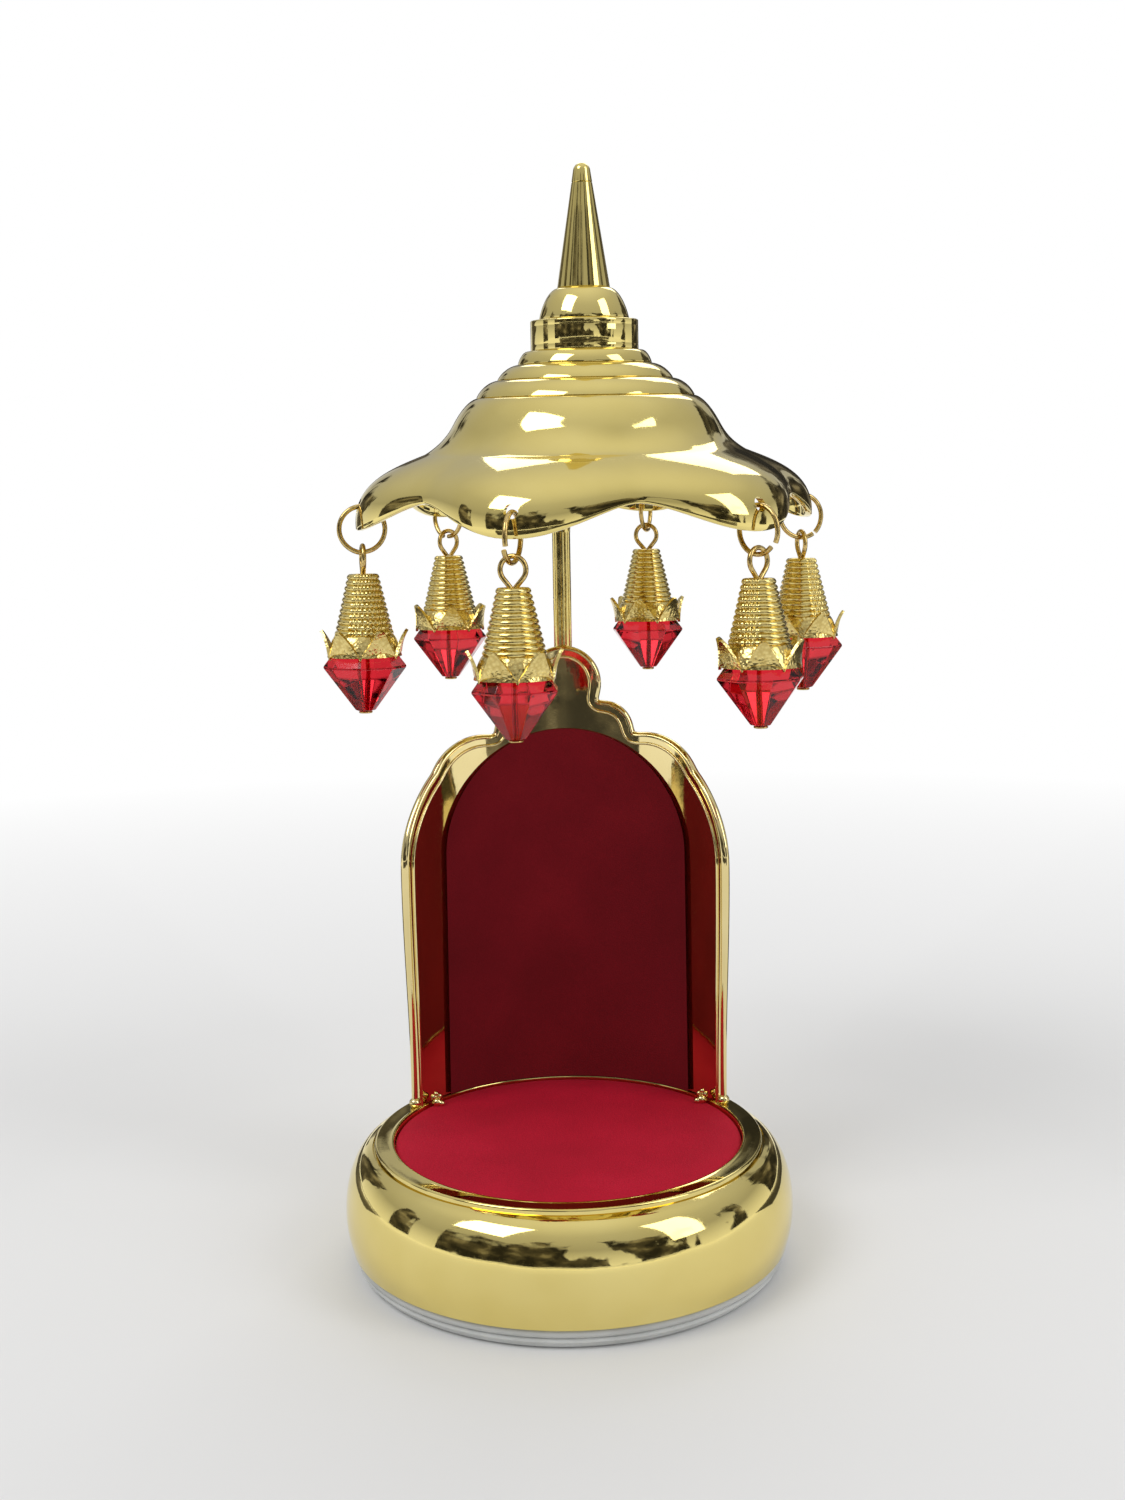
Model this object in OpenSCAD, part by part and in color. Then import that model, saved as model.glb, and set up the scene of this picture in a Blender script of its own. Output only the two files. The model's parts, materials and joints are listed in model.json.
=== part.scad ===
// Dashboard temple: a round base with a velvet seat, a curved backrest and a
// cranked pole, under a fluted bell canopy that carries six bead pendants.
// The origin is the middle of the base's underside. The front faces -Y.

/* [Overall] */
// Height from the underside of the base to the tip of the spire
temple_h = 150; // [120:1:190]
// Widest diameter of the base
base_d = 60; // [50:1:75]
// Diameter over the lobe tips of the canopy
canopy_d = 67.4; // [56:0.5:82]

/* [Base] */
// Height of the seat ring above the surface that the temple stands on
base_h = 16; // [14:0.5:20]
// Wall of the base shell
base_wall = 2; // [1.2:0.1:2.5]
// How far the rounded shoulder runs in from the widest line
shoulder_w = 4; // [3:0.25:5]
// Height of the rounded shoulder
shoulder_h = 7.8; // [5:0.2:8.6]
// Thickness of the foam pad under the base
pad_t = 1.6; // [1:0.1:3]
// Thickness of the plate that closes the base
plate_t = 2; // [1.4:0.1:3]
// Width of the raised ring round the seat
ring_w = 2.5; // [2:0.1:3.5]
// Thickness of the velvet seat
seat_t = 2; // [1:0.1:3]

/* [Backrest] */
// Wall of the curved backrest
back_wall = 1.5; // [1:0.1:2]
// Angle that the backrest reaches round each side of the seat
back_angle = 65.4; // [50:0.2:70]
// Height from the backrest's apex up to the canopy's rim
apex_gap = 18; // [12:0.5:30]
// Diameter of the rolled bead along the backrest's edge
bead_d = 1.8; // [1.7:0.1:2.6]
// Half width of the velvet panel
panel_w = 17.2; // [12:0.2:19]
// Thickness of the velvet panel
panel_t = 0.8; // [0.5:0.1:1.2]

/* [Pole] */
// Diameter of the pole
pole_d = 2.7; // [2:0.1:4]
// Angle of the pole's crank
crank_angle = 42; // [30:1:60]
// Inside wall of the sleeve that holds the pole
sleeve_wall = 1.1; // [0.8:0.1:2]

/* [Canopy] */
// Wall of the fluted canopy
canopy_wall = 1; // [0.8:0.1:1.6]
// How far the rim between the lobes lies inside the lobe tips
flute_in = 3.7; // [2:0.1:6]
// How far the rim between the lobes lies above the lobe tips
flute_up = 4.2; // [2:0.1:6]
// Forward tilt of the canopy on its pole
canopy_tilt = 3.5; // [0:0.5:6]
// Place of the canopy's axis to the right of the seat's middle
canopy_x = 4; // [0:0.5:6]
// Place of the canopy's axis behind the seat's middle
canopy_y = 20.5; // [16:0.5:22]

/* [Pendants] */
// Diameter of the jump ring's wire
wire_d = 0.7; // [0.5:0.05:0.8]
// Outside diameter of a jump ring
ring_d = 7.2; // [6:0.1:9]
// Diameter of the hole in each lobe
hole_d = 2; // [1.8:0.1:2.4]
// Height of the ribbed cone
cone_h = 8.7; // [6:0.1:11]
// Diameter of the ribbed cone at its foot
cone_d = 8.5; // [7:0.1:10]
// Widest diameter of the crystal
crystal_d = 11.8; // [10:0.1:14]
// Diameter over the petals of the cap
petal_d = 13; // [11:0.1:15]

/* [Hidden] */
$fn = 96;

glue = 0.05;            // gap that a glue line leaves between two pieces
lobes = 6;

// Base, worked inwards from its widest diameter
base_r = base_d / 2;
widest_z = base_h - 0.7 - shoulder_h;
shell_foot = [base_r - 0.8, pad_t + 1.1];
ring_out = base_r - shoulder_w - 0.1;
ring_in = ring_out - ring_w;
seat_z = base_h - 0.4;
floor_z = seat_z - seat_t;

// Backrest, standing on the ring
back_in = ring_in + 0.3;
back_out = back_in + back_wall;
bead_mid = (back_in + back_out) / 2;
bead_r = bead_d / 2;
half_w = bead_mid * sin(back_angle) + bead_r;
rim_r = bead_r - 0.1;
// Distance aside, depth under the apex and radius; the third only fills in under a cusp
back_lobes = [[0, 5.7, 5.7], [6, 12.6, 4.4], [7.2, 18, 5.9], [12.3, 20, 7.3]];

// Canopy, hung down from the height of the spire's tip
spire_top = 51.8;       // heights above the plane of the lobe tips, along the axis
dome_h = 4.5;
spire_r = 3.8;
collar_z = 25;
collar_h = 4.4;
crown_z = 18.4;
canopy_z = temple_h - spire_top * cos(canopy_tilt);
lobe_r = canopy_d / 2;
lobe_turn = -17;        // angle of the first lobe from the front
step_r = [15.8, 12.7, 9.7];
step_h = [2.5, 2.2, 1.9];
skirt_round = 72;       // slices round the skirt

apex_z = canopy_z - apex_gap;
shoulder_z = apex_z - 29.8;

// Pole, behind the backrest
pole_r = pole_d / 2;
pole_y = bead_mid + bead_r + pole_r + 2 * glue;
socket_z = base_h - 8;
crank_r = 4;
bend_r = pole_r + 0.02; // the bends are a trace fatter than the straight rod
bend_lap = 0.3;         // the straight rod runs this far into a bend
hub_r = 4;
hub_foot = 12;
hub_top = crown_z + 3.1;
hub_y = canopy_y - (hub_foot + 3) * sin(canopy_tilt);
crank_off = norm([canopy_x, hub_y - pole_y]);
crank_turn = atan2(hub_y - pole_y, canopy_x);
crank_run = (crank_off - 2 * crank_r * (1 - cos(crank_angle))) / sin(crank_angle);
crank_h = 2 * crank_r * sin(crank_angle) + crank_run * cos(crank_angle);
pole_top = canopy_z + hub_top - 2.5;
crank_z = canopy_z + hub_foot - 1 - crank_h;

// Pendant, measured down from the middle of the wire in the lobe's hole
wire_r = wire_d / 2;
ring_mid = ring_d / 2 - wire_r;
hang_gap = 0.2;
loop_mid = 1.75;
pivot_z = -2 * ring_mid;
loop_z = pivot_z + wire_d + hang_gap - loop_mid;
cone_z = loop_z - loop_mid - wire_r - 0.15 - cone_h;
pin_r = wire_r;
bore_r = pin_r + 0.1;
girdle_z = cone_z - 4.5;
crystal_h = 6.2;        // from the girdle down to the tip
tip_r = 1.4;
crystal_slope = (crystal_d / 2 - tip_r) / crystal_h;
cap_plate = 1.35;

// Outline of the canopy's wall

function mix(a, b, w) = a + (b - a) * w;

function bezier(p, t) =
    pow(1 - t, 3) * p[0] + 3 * pow(1 - t, 2) * t * p[1]
    + 3 * (1 - t) * t * t * p[2] + pow(t, 3) * p[3];

// Share of the lobe in the skirt at an angle from the front: 1 on a lobe, 0 between two
function lobe_share(a) = pow(0.5 + 0.5 * cos(lobes * (a - lobe_turn)), 0.8);

waist_r = step_r[0] + 3.5;
waist_z = crown_z - 3.8;
flare_z = waist_z - 4.1;

// Point on the outside of the wall, t from 0 at the crown to 3 at the rim
function skirt(w, t) =
    let (valley_r = lobe_r - flute_in,
         flare_r = waist_r + mix(3.2, 4.2, w),
         rim = [mix(valley_r, lobe_r, w), mix(flute_up, 0, w)])
    t <= 1 ? bezier([[step_r[0], crown_z], [step_r[0] + 1.3, crown_z - 0.3],
                     [waist_r - 0.9, crown_z - 2.1], [waist_r, waist_z]], t)
    : t <= 2 ? bezier([[waist_r, waist_z], [waist_r + 0.7, waist_z - 1.3],
                       [flare_r - 2.2, flare_z + 1.3], [flare_r, flare_z]], t - 1)
    : bezier([[flare_r, flare_z],
              [mix(valley_r - 4, lobe_r - 5.2, w), mix(8.9, 8.6, w)],
              [mix(valley_r - 0.2, lobe_r + 0.6, w), mix(7.2, 6.6, w)],
              rim], t - 2);

// The same point moved inwards by the wall
function skirt_in(w, t) =
    let (d = skirt(w, min(t + 0.02, 3)) - skirt(w, max(t - 0.02, 0)))
    skirt(w, t) - canopy_wall * [-d[1], d[0]] / norm(d);

skirt_steps = concat([0, 0.5], [for (i = [0:4]) 1 + i / 4], [for (i = [1:6]) 2 + i / 6]);
collar_r = step_r[0] - 4;

function skirt_section(w) = concat(
    [[collar_r, crown_z]],
    [for (t = skirt_steps) skirt(w, t)],
    [for (i = [len(skirt_steps) - 1:-1:1]) skirt_in(w, skirt_steps[i])],
    [[collar_r, crown_z - 1.2]]);

// Place of each hole: on the lobe's wall, where the curve has turned down
hole_t = 2.8;
hole_r = skirt(1, hole_t)[0] - canopy_wall / 2;
hole_z = skirt(1, hole_t)[1];
hole_lift = 0.1;        // the wire hangs this far under the middle of its hole

function lobe_angle(n) = lobe_turn + (n - 1) * 360 / lobes;

// Middle of the wire in hole n
function hang_point(n) =
    let (a = lobe_angle(n), y = -hole_r * cos(a))
    [canopy_x + hole_r * sin(a),
     canopy_y + y * cos(canopy_tilt) - hole_z * sin(canopy_tilt),
     canopy_z + y * sin(canopy_tilt) + hole_z * cos(canopy_tilt)];

module on_canopy() {
    translate([canopy_x, canopy_y, canopy_z]) rotate([canopy_tilt, 0, 0]) children();
}

module on_hook(n) {
    translate(hang_point(n)) rotate([0, 0, lobe_angle(n)]) children();
}

// Round tier whose side curves in from its foot to its top
module tier(foot_r, top_r, h) {
    side_h = 0.3;
    rotate_extrude()
        polygon(concat([[0, 0], [foot_r, 0]],
            [for (a = [0:15:90])
                [top_r + (foot_r - top_r) * cos(a), side_h + (h - side_h) * sin(a)]],
            [[0, h]]));
}

// Disc with its upper edge rounded
module rounded_disc(r, h, edge) {
    rotate_extrude() {
        square([r - edge, h]);
        square([r, h - edge]);
        translate([r - edge, h - edge]) circle(edge);
    }
}

// Stretch of an oval round its middle, size being its half width and half height
function oval(mid, size, from, to, steps) =
    [for (i = [0:steps]) let (a = mix(from, to, i / steps))
        mid + [size[0] * cos(a), size[1] * sin(a)]];

// Base

module base_pad() {
    color("lightgray") cylinder(r = shell_foot[0] - 0.6, h = pad_t);
}

module base_plate() {
    lip_z = shell_foot[1];
    color("silver") {
        translate([0, 0, pad_t]) cylinder(r = shell_foot[0] - 0.3, h = lip_z - pad_t);
        translate([0, 0, pad_t])
            cylinder(r = shell_foot[0] - base_wall - 2 * glue, h = plate_t);
    }
}

module base_shell() {
    mid = [base_r - shoulder_w, widest_z];
    shoulder = [shoulder_w, shoulder_h];
    color("gold")
        difference() {
            rotate_extrude()
                polygon(concat(
                    [[ring_in, floor_z - base_wall], [ring_in - 4, floor_z - base_wall],
                     [0, floor_z - base_wall], [0, floor_z], [ring_in, floor_z],
                     [ring_in, base_h], [ring_out, base_h], [ring_out, widest_z + shoulder_h]],
                    oval(mid, shoulder, 80, 0, 10),
                    [[mix(shell_foot[0], base_r, 0.8), mix(shell_foot[1], widest_z, 0.5)],
                     shell_foot,
                     [shell_foot[0] - base_wall, shell_foot[1]],
                     [base_r - base_wall, widest_z]],
                    oval(mid, shoulder - [base_wall, base_wall], 15, 75, 4)));
            translate([0, pole_y, socket_z]) cylinder(r = pole_r + glue, h = base_h);
        }
}

module seat_velvet() {
    color("crimson") translate([0, 0, floor_z]) cylinder(r = ring_in - glue, h = seat_t);
}

// Backrest

// Outline of the backrest seen from the front, drawn in by a margin
module back_outline(margin) {
    translate([-half_w + margin, base_h]) square([2 * (half_w - margin), shoulder_z - base_h]);
    intersection() {
        for (side = [-1, 1])
            translate([side * 2.1, shoulder_z]) circle(half_w - 2.1 - margin);
        translate([-half_w, shoulder_z - 1]) square([2 * half_w, 12.6 - margin]);
    }
    for (lobe = back_lobes) {
        reach = lobe[0] + lobe[2] - margin;
        for (side = [-1, 1])
            translate([side * lobe[0], apex_z - lobe[1]]) circle(lobe[2] - margin);
        translate([-reach, shoulder_z]) square([2 * reach, apex_z - lobe[1] - shoulder_z]);
    }
}

// Part of a round wall that lies under an outline
module round_wall(inner, outer) {
    intersection() {
        difference() {
            translate([0, 0, base_h]) cylinder(r = outer, h = apex_z);
            cylinder(r = inner, h = apex_z + base_h + 1);
        }
        translate([0, 2 * base_r, 0]) rotate([90, 0, 0]) linear_extrude(2 * base_r) children();
        linear_extrude(apex_z + 1)
            polygon([[0, 0], 3 * base_r * [-sin(back_angle), cos(back_angle)],
                     [-base_r, 3 * base_r], [base_r, 3 * base_r],
                     3 * base_r * [sin(back_angle), cos(back_angle)]]);
    }
}

module backrest() {
    color("gold") {
        round_wall(back_in, back_out) back_outline(0);
        round_wall(bead_mid - rim_r, bead_mid + rim_r)
            difference() {
                back_outline(0);
                back_outline(bead_d);
                translate([-half_w, 0]) square([2 * half_w, shoulder_z + 4]);
            }
        for (side = [-1, 1])
            translate([side * bead_mid * sin(back_angle), bead_mid * cos(back_angle), base_h])
                cylinder(r = bead_r, h = shoulder_z + 4 - base_h, $fn = 48);
    }
}

module backrest_lugs() {
    lug_r = 0.9;
    lug_mid = ring_in - glue - lug_r;
    lug_angle = asin((panel_w + 1) / lug_mid) + 3;
    color("gold")
        for (side = [-1, 1])
            translate([side * lug_mid * sin(lug_angle), lug_mid * cos(lug_angle), seat_z])
                cylinder(r = lug_r, h = 2.6, $fn = 32);
}

module backrest_velvet() {
    arch_z = apex_z - 12.3 - panel_w;
    outer = back_in - glue;
    color("maroon")
        intersection() {
            difference() {
                translate([0, 0, base_h]) cylinder(r = outer, h = apex_z);
                cylinder(r = outer - panel_t, h = 2 * apex_z);
            }
            translate([0, 2 * base_r, 0]) rotate([90, 0, 0])
                linear_extrude(2 * base_r) {
                    translate([-panel_w, base_h - 1]) square([2 * panel_w, arch_z - base_h + 1]);
                    translate([0, arch_z]) circle(panel_w);
                }
        }
}

// Pole

module pole_sleeve() {
    foot = apex_z - 38;
    color("gold")
        difference() {
            translate([0, pole_y, foot]) cylinder(r = pole_r + sleeve_wall, h = 26);
            translate([0, pole_y, foot - 1]) cylinder(r = pole_r + glue, h = 28);
            cylinder(r = back_out + glue, h = apex_z);
        }
}

module crank_elbow() {
    translate([crank_r, 0, 0]) mirror([1, 0, 0]) rotate([90, 0, 0])
        rotate_extrude(angle = crank_angle) translate([crank_r, 0]) circle(bend_r, $fn = 48);
}

module pole() {
    color("gold") {
        translate([0, pole_y, socket_z])
            cylinder(r = pole_r, h = crank_z + bend_lap - socket_z, $fn = 48);
        translate([0, pole_y, crank_z]) rotate([0, 0, crank_turn]) {
            crank_elbow();
            translate([crank_r * (1 - cos(crank_angle)), 0, crank_r * sin(crank_angle)])
                rotate([0, crank_angle, 0]) translate([0, 0, -bend_lap])
                    cylinder(r = pole_r, h = crank_run + 2 * bend_lap, $fn = 48);
            translate([crank_off, 0, crank_h]) rotate([0, 180, 0]) crank_elbow();
            translate([crank_off, 0, crank_h - bend_lap])
                cylinder(r = pole_r, h = pole_top - crank_z - crank_h + bend_lap, $fn = 48);
        }
    }
}

// Canopy

module skirt_shell() {
    sides = len(skirt_section(0));
    points = [for (j = [0:skirt_round - 1])
        let (a = lobe_turn + j * 360 / skirt_round)
        for (p = skirt_section(lobe_share(a))) [p[0] * sin(a), -p[0] * cos(a), p[1]]];
    faces = [for (j = [0:skirt_round - 1], i = [0:sides - 1])
        let (k = (j + 1) % skirt_round, m = (i + 1) % sides,
             a = j * sides + i, b = j * sides + m, c = k * sides + m, d = k * sides + i)
        for (f = [[a, b, c], [a, c, d]]) f];
    polyhedron(points, faces, convexity = 6);
}

module canopy() {
    color("gold")
        on_canopy()
            difference() {
                skirt_shell();
                for (n = [1:lobes])
                    rotate([0, 0, lobe_angle(n)])
                        translate([0, -hole_r + 3, hole_z + hole_lift]) rotate([90, 0, 0])
                            cylinder(r = hole_d / 2, h = 6, $fn = 32);
            }
}

module canopy_crown() {
    color("gold")
        on_canopy()
            difference() {
                union() {
                    translate([0, 0, crown_z]) tier(step_r[0], step_r[1], step_h[0]);
                    translate([0, 0, crown_z + step_h[0]]) tier(step_r[1], step_r[2], step_h[1]);
                    translate([0, 0, crown_z + step_h[0] + step_h[1]])
                        tier(step_r[2], step_r[2] - 1.3, step_h[2]);
                }
                translate([0, 0, crown_z - 1]) cylinder(r = step_r[1] - 1.4, h = hub_top - crown_z + 1);
            }
}

module canopy_hub() {
    color("gold")
        difference() {
            on_canopy() translate([0, 0, hub_foot]) cylinder(r = hub_r, h = hub_top - hub_foot);
            translate([canopy_x, hub_y, canopy_z])
                cylinder(r = pole_r + glue, h = pole_top - canopy_z + glue);
        }
}

module canopy_collar() {
    color("gold") on_canopy() translate([0, 0, collar_z]) rounded_disc(7.8, collar_h, 0.8);
}

module canopy_dome() {
    color("gold")
        on_canopy() translate([0, 0, collar_z + collar_h + glue]) tier(6.5, spire_r + 0.1, dome_h);
}

module canopy_spire() {
    foot_z = collar_z + collar_h + dome_h + 2 * glue;
    tip = 1.25;
    color("gold")
        on_canopy() translate([0, 0, foot_z]) {
            cylinder(r1 = spire_r, r2 = tip, h = spire_top - foot_z - tip);
            translate([0, 0, spire_top - foot_z - tip]) sphere(tip, $fn = 48);
        }
}

// Pendants

module jump_ring(n) {
    opening = 8;        // degrees between the ring's two ends
    color("goldenrod")
        on_hook(n) translate([0, 0, -ring_mid]) rotate([0, 90, 0]) rotate([0, 0, 60])
            rotate_extrude(angle = 360 - opening) translate([ring_mid, 0]) circle(wire_r, $fn = 24);
}

module eye_pin(n) {
    tip_z = girdle_z - crystal_h;
    color("goldenrod")
        on_hook(n) {
            translate([0, 0, loop_z]) rotate([90, 0, 0])
                rotate_extrude() translate([loop_mid, 0]) circle(pin_r, $fn = 24);
            translate([0, 0, tip_z]) cylinder(r = pin_r, h = loop_z - loop_mid - tip_z, $fn = 24);
            translate([0, 0, tip_z - 0.45]) cylinder(r = 1, h = 0.45 - glue, $fn = 32);
            translate([0, 0, tip_z - 0.1]) cylinder(r = pin_r, h = 1, $fn = 24);
        }
}

module ribbed_cone(n) {
    ribs = 10;
    top_r = 2.2;
    rib = 0.14;
    step = cone_h / ribs;
    color("gold")
        on_hook(n) translate([0, 0, cone_z])
            rotate_extrude()
                polygon(concat([[bore_r, 0]],
                    [for (i = [0:ribs - 1], k = [0.05, 0.35, 0.65, 0.95])
                        let (z = (i + k) * step)
                        [mix(cone_d / 2, top_r, z / cone_h) - (k < 0.2 || k > 0.8 ? rib : 0),
                         (i + k) * step - (i == 0 && k == 0.05 ? 0.05 * step : 0)]],
                    [[bore_r, ribs * step - 0.05 * step]]));
}

module petal_cap(n) {
    foot = -3.4;
    seat_r = crystal_d / 2 + (girdle_z - cone_z - foot) * crystal_slope;
    lip = petal_d / 2;
    arch = 4;
    color("gold")
        on_hook(n) translate([0, 0, cone_z])
            difference() {
                rotate_extrude()
                    polygon([[bore_r, -glue], [cone_d / 2, -glue], [lip - 0.9, 0.2], [lip, 0.6],
                             [lip - 0.1, 0.1], [lip - 0.9, -1.2], [seat_r + 0.35, foot],
                             [seat_r + 0.06, foot],
                             [seat_r + 0.06 + (foot + cap_plate) * crystal_slope, -cap_plate],
                             [bore_r, -cap_plate]]);
                for (k = [0:5]) {
                    rotate([0, 0, 60 * k]) translate([0, -cone_d / 2, -0.1]) rotate([56, 0, 0])
                        rotate([90, 0, 0]) linear_extrude(6)
                            polygon([[0, 0], [3.4, 2.8], [-3.4, 2.8]]);
                    rotate([0, 0, 60 * k + 30]) translate([0, -3.2, foot + 1.05 - arch])
                        rotate([90, 0, 0]) cylinder(r = arch, h = 6, $fn = 48);
                }
            }
}

module crystal(n) {
    top_z = cone_z - cap_plate - glue;
    facets = 8;
    color("red")
        on_hook(n)
            difference() {
                union() {
                    translate([0, 0, girdle_z - crystal_h])
                        cylinder(r1 = tip_r, r2 = crystal_d / 2, h = crystal_h, $fn = facets);
                    translate([0, 0, girdle_z])
                        cylinder(r1 = crystal_d / 2,
                            r2 = crystal_d / 2 - (top_z - girdle_z) * crystal_slope,
                            h = top_z - girdle_z, $fn = facets);
                }
                translate([0, 0, girdle_z - crystal_h - 1])
                    cylinder(r = bore_r, h = 2 * crystal_h, $fn = 24);
            }
}

base_pad();
base_plate();
base_shell();
seat_velvet();
backrest();
backrest_lugs();
backrest_velvet();
pole_sleeve();
pole();
canopy();
canopy_crown();
canopy_hub();
canopy_collar();
canopy_dome();
canopy_spire();
for (n = [1:6]) {
    jump_ring(n);
    eye_pin(n);
    ribbed_cone(n);
    petal_cap(n);
    crystal(n);
}
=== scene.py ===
import json
from math import acos, asin, atan2, cos, degrees, hypot, pi, radians, sin, sqrt

import bmesh
import bpy
from mathutils import Matrix, Vector


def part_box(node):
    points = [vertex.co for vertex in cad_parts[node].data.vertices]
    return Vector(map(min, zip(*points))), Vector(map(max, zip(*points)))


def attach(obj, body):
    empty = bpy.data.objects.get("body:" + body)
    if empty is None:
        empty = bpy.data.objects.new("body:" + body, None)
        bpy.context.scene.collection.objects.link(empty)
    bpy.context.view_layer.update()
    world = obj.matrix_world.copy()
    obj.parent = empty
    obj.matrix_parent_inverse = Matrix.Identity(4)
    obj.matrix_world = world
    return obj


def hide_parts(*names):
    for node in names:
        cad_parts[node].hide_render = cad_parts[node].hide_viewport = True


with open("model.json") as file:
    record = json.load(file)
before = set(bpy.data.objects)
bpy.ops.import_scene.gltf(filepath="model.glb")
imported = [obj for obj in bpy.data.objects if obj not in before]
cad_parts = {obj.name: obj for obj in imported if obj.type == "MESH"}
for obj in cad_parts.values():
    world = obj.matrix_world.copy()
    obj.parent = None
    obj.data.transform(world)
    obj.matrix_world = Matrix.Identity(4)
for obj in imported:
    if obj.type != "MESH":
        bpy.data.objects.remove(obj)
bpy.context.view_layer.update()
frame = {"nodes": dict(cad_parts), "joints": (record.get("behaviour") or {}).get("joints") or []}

mm = 0.001
print("frame loaded")


cameraSetup = {
    "place": (4.03 * mm, -224.04 * mm, 97.53 * mm),
    "pitch": -0.03,       # radians, down is minus
    "yaw": 0.018,
    "roll": -0.0174,
    "lens": 40.137,
    "shift": (0.0026, -0.1137),
}


def makeCamera(s):
    data = bpy.data.cameras.new("camera")
    data.sensor_fit = "VERTICAL"
    data.sensor_height = 36
    data.lens = s["lens"]
    data.shift_x, data.shift_y = s["shift"]
    data.clip_start, data.clip_end = 0.01, 20
    camera = bpy.data.objects.new("camera", data)
    turn = Matrix.Rotation(s["yaw"], 4, "Z") @ Matrix.Rotation(pi / 2 + s["pitch"], 4, "X")
    camera.matrix_world = Matrix.Translation(s["place"]) @ turn @ Matrix.Rotation(s["roll"], 4, "Z")
    bpy.context.scene.collection.objects.link(camera)
    bpy.context.scene.camera = camera


makeCamera(cameraSetup)


def newMaterial(name):
    material = bpy.data.materials.new(name)
    material.use_nodes = True
    nodes = material.node_tree.nodes
    nodes.clear()
    out = nodes.new("ShaderNodeOutputMaterial")
    shader = nodes.new("ShaderNodeBsdfPrincipled")
    material.node_tree.links.new(shader.outputs["BSDF"], out.inputs["Surface"])
    return material, shader


def patternNode(material, kind, scale, detail=2.0, stretch=(1, 1, 1)):
    # noise or cells on Object coordinates; scale is per metre
    nodes, links = material.node_tree.nodes, material.node_tree.links
    place = nodes.new("ShaderNodeTexCoord")
    mapping = nodes.new("ShaderNodeMapping")
    mapping.inputs["Scale"].default_value = stretch
    links.new(place.outputs["Object"], mapping.inputs["Vector"])
    pattern = nodes.new("ShaderNodeTexNoise" if kind == "noise" else "ShaderNodeTexVoronoi")
    pattern.inputs["Scale"].default_value = scale
    if kind == "noise":
        pattern.inputs["Detail"].default_value = detail
    links.new(mapping.outputs["Vector"], pattern.inputs["Vector"])
    return pattern.outputs["Fac" if kind == "noise" else "Distance"]


def mapped(material, value, low, high, fromLow, fromHigh):
    # spreads the range fromLow..fromHigh over low..high
    node = material.node_tree.nodes.new("ShaderNodeMapRange")
    node.inputs["From Min"].default_value = fromLow
    node.inputs["From Max"].default_value = fromHigh
    node.inputs["To Min"].default_value = low
    node.inputs["To Max"].default_value = high
    material.node_tree.links.new(value, node.inputs["Value"])
    return node.outputs["Result"]


def tones(material, value, stops):
    # colour ramp from a list of (place, colour)
    ramp = material.node_tree.nodes.new("ShaderNodeValToRGB")
    while len(ramp.color_ramp.elements) < len(stops):
        ramp.color_ramp.elements.new(0.5)
    for element, (place, colour) in zip(ramp.color_ramp.elements, stops):
        element.position = place
        element.color = (*colour, 1)
    material.node_tree.links.new(value, ramp.inputs["Fac"])
    return ramp.outputs["Color"]


def bumped(material, shader, layers):
    # layers of (height value, strength, depth in metres)
    links = material.node_tree.links
    below = None
    for height, strength, depth in layers:
        bump = material.node_tree.nodes.new("ShaderNodeBump")
        bump.inputs["Strength"].default_value = strength
        bump.inputs["Distance"].default_value = depth
        links.new(height, bump.inputs["Height"])
        if below:
            links.new(below, bump.inputs["Normal"])
        below = bump.outputs["Normal"]
    links.new(below, shader.inputs["Normal"])


def surfaceFrom(material, shaderOut):
    # puts this shader on the surface in place of the first one
    nodes, links = material.node_tree.nodes, material.node_tree.links
    out = next(node for node in nodes if node.type == "OUTPUT_MATERIAL")
    links.new(shaderOut, out.inputs["Surface"])


def objectHeight(material):
    nodes, links = material.node_tree.nodes, material.node_tree.links
    place = nodes.new("ShaderNodeTexCoord")
    split = nodes.new("ShaderNodeSeparateXYZ")
    links.new(place.outputs["Object"], split.inputs["Vector"])
    return split.outputs["Z"]


def makeChrome(name, colour, darker, gloss):
    # vacuum-plated plastic: a mirror with faint moulding waves and a few dull patches
    material, shader = newMaterial(name)
    links = material.node_tree.links
    shader.inputs["Metallic"].default_value = 1
    shader.inputs["Specular IOR Level"].default_value = 0.5
    cloudy = patternNode(material, "noise", 90, 3)
    links.new(tones(material, cloudy, [(0.3, darker), (0.7, colour)]), shader.inputs["Base Color"])
    fine = patternNode(material, "noise", 2600, 4)
    links.new(mapped(material, fine, *gloss, 0.35, 0.75), shader.inputs["Roughness"])
    waves = patternNode(material, "noise", 130, 1)
    peel = patternNode(material, "noise", 1500, 2)
    bumped(material, shader, [(waves, 0.22, 0.4 * mm), (peel, 0.05, 0.05 * mm)])
    return material


def makeStampedGold(name, colour, darker):
    # thin cast metal with a hammered face
    material, shader = newMaterial(name)
    links = material.node_tree.links
    shader.inputs["Metallic"].default_value = 1
    cells = patternNode(material, "cells", 2100)
    grains = patternNode(material, "noise", 5200, 3)
    links.new(tones(material, cells, [(0.05, colour), (0.75, darker)]), shader.inputs["Base Color"])
    links.new(mapped(material, grains, 0.08, 0.26, 0.3, 0.7), shader.inputs["Roughness"])
    bumped(material, shader, [(cells, 0.42, 0.12 * mm), (grains, 0.22, 0.05 * mm)])
    return material


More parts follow.
